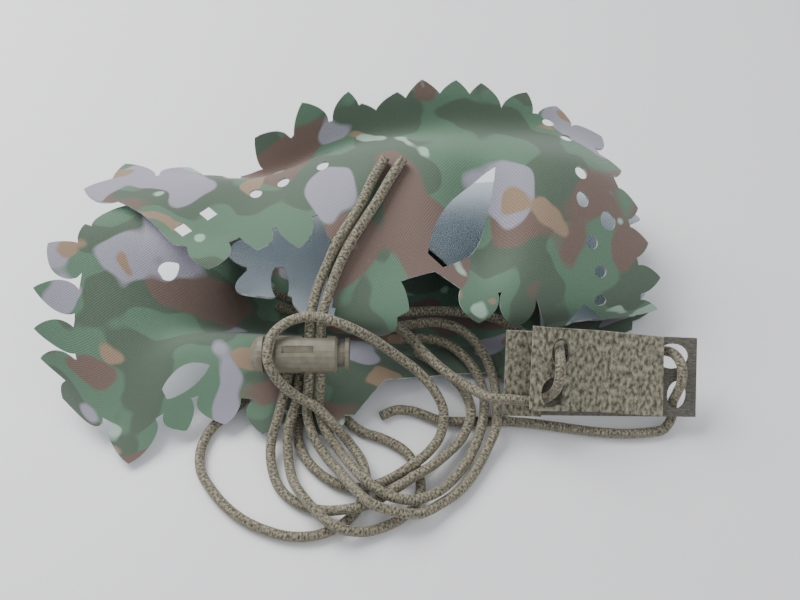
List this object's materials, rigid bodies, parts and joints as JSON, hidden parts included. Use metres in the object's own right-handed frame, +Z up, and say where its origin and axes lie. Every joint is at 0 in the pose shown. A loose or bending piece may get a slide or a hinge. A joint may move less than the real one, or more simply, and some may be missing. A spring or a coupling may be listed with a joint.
{
  "type": "helmet scrim",
  "caption": "Laser-cut camouflage helmet scrim folded into a bundle, with its elastic cords, sprung cord lock and hook-and-loop tab.",
  "frame": {"origin": "middle of the folded cloth's base, on the surface it lies on", "axes": "+X along the folds towards the tab, +Y to the back, +Z up"},
  "size_m": [0.212, 0.1432, 0.0626],
  "materials": {
    "cloth": "printed camouflage, fine plain weave, matt",
    "cord": "braided elastic cord cover, matt",
    "lock": "moulded, matt",
    "tab_backing": "woven backing tape, matt",
    "tab_pile": "loop pile, matt"
  },
  "bodies": {
    "root": {"scrim_cloth": "cloth", "draw_cord_left": "cord", "draw_cord_right": "cord", "loop_cord": "cord", "left_run": "cord", "inner_run": "cord", "back_run": "cord", "tab_cord": "cord", "lock_barrel": "lock", "tab_base": "tab_backing", "tab_rear_pile": "tab_pile", "tab_front_pile": "tab_pile"},
    "button": {"lock_button": "lock"}
  },
  "joints": [
    {"name": "button_press", "type": "slide", "parent": "root", "child": "button", "axis": [1, 0, 0], "range_m": [0, 0.003], "stiffness_N_per_m": 400}
  ]
}
